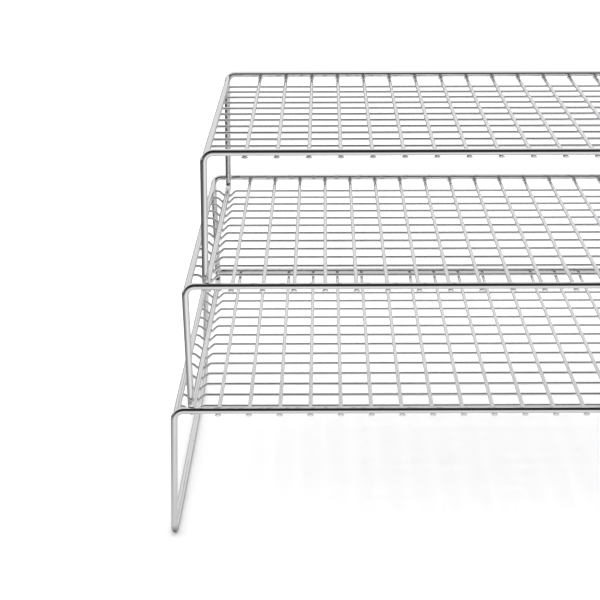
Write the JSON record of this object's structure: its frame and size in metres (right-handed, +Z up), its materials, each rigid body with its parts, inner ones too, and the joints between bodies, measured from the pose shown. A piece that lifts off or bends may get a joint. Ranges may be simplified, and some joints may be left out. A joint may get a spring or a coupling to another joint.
{
  "type": "tiered shoe rack",
  "caption": "Tiered shoe rack of stacked chrome-plated wire stands, each resting in grooves bent into the deck wires of the wider stand below.",
  "frame": {"origin": "on the floor, below the middle of the stacked racks", "axes": "+X along the width to the right seen from the front, +Y from the front to the back, +Z up"},
  "size_m": [0.6832, 0.3702, 0.3699],
  "materials": {
    "chrome_frame": "bright chrome plating on bent steel rod",
    "chrome_cross_wire": "bright chrome plating on straight front-to-back steel wire",
    "chrome_long_wire": "bright chrome plating on left-to-right steel wire"
  },
  "bodies": {
    "bottom_rack": {"bottom_cross_wires": "chrome_cross_wire", "bottom_front_frame_rod": "chrome_frame", "bottom_left_side_bar": "chrome_frame", "bottom_long_wire_01": "chrome_long_wire", "bottom_long_wire_02": "chrome_long_wire", "bottom_long_wire_03": "chrome_long_wire", "bottom_long_wire_04": "chrome_long_wire", "bottom_long_wire_05": "chrome_long_wire", "bottom_long_wire_06": "chrome_long_wire", "bottom_long_wire_07": "chrome_long_wire", "bottom_long_wire_08": "chrome_long_wire", "bottom_long_wire_09": "chrome_long_wire", "bottom_long_wire_10": "chrome_long_wire", "bottom_long_wire_11": "chrome_long_wire", "bottom_long_wire_12": "chrome_long_wire", "bottom_long_wire_13": "chrome_long_wire", "bottom_long_wire_14": "chrome_long_wire", "bottom_rear_frame_rod": "chrome_frame", "bottom_right_side_bar": "chrome_frame"},
    "middle_rack": {"middle_cross_wires": "chrome_cross_wire", "middle_front_frame_rod": "chrome_frame", "middle_left_side_bar": "chrome_frame", "middle_long_wire_01": "chrome_long_wire", "middle_long_wire_02": "chrome_long_wire", "middle_long_wire_03": "chrome_long_wire", "middle_long_wire_04": "chrome_long_wire", "middle_long_wire_05": "chrome_long_wire", "middle_long_wire_06": "chrome_long_wire", "middle_long_wire_07": "chrome_long_wire", "middle_long_wire_08": "chrome_long_wire", "middle_long_wire_09": "chrome_long_wire", "middle_long_wire_10": "chrome_long_wire", "middle_long_wire_11": "chrome_long_wire", "middle_long_wire_12": "chrome_long_wire", "middle_long_wire_13": "chrome_long_wire", "middle_rear_frame_rod": "chrome_frame", "middle_right_side_bar": "chrome_frame"},
    "top_rack": {"top_cross_wires": "chrome_cross_wire", "top_front_frame_rod": "chrome_frame", "top_left_side_bar": "chrome_frame", "top_long_wire_01": "chrome_long_wire", "top_long_wire_02": "chrome_long_wire", "top_long_wire_03": "chrome_long_wire", "top_long_wire_04": "chrome_long_wire", "top_long_wire_05": "chrome_long_wire", "top_long_wire_06": "chrome_long_wire", "top_long_wire_07": "chrome_long_wire", "top_long_wire_08": "chrome_long_wire", "top_long_wire_09": "chrome_long_wire", "top_long_wire_10": "chrome_long_wire", "top_long_wire_11": "chrome_long_wire", "top_long_wire_12": "chrome_long_wire", "top_rear_frame_rod": "chrome_frame", "top_right_side_bar": "chrome_frame"}
  },
  "joints": [
    {"name": "middle_lift", "type": "slide", "parent": "bottom_rack", "child": "middle_rack", "axis": [0, 0, 1], "range_m": [0, 0.15]},
    {"name": "top_lift", "type": "slide", "parent": "middle_rack", "child": "top_rack", "axis": [0, 0, 1], "range_m": [0, 0.15]}
  ]
}
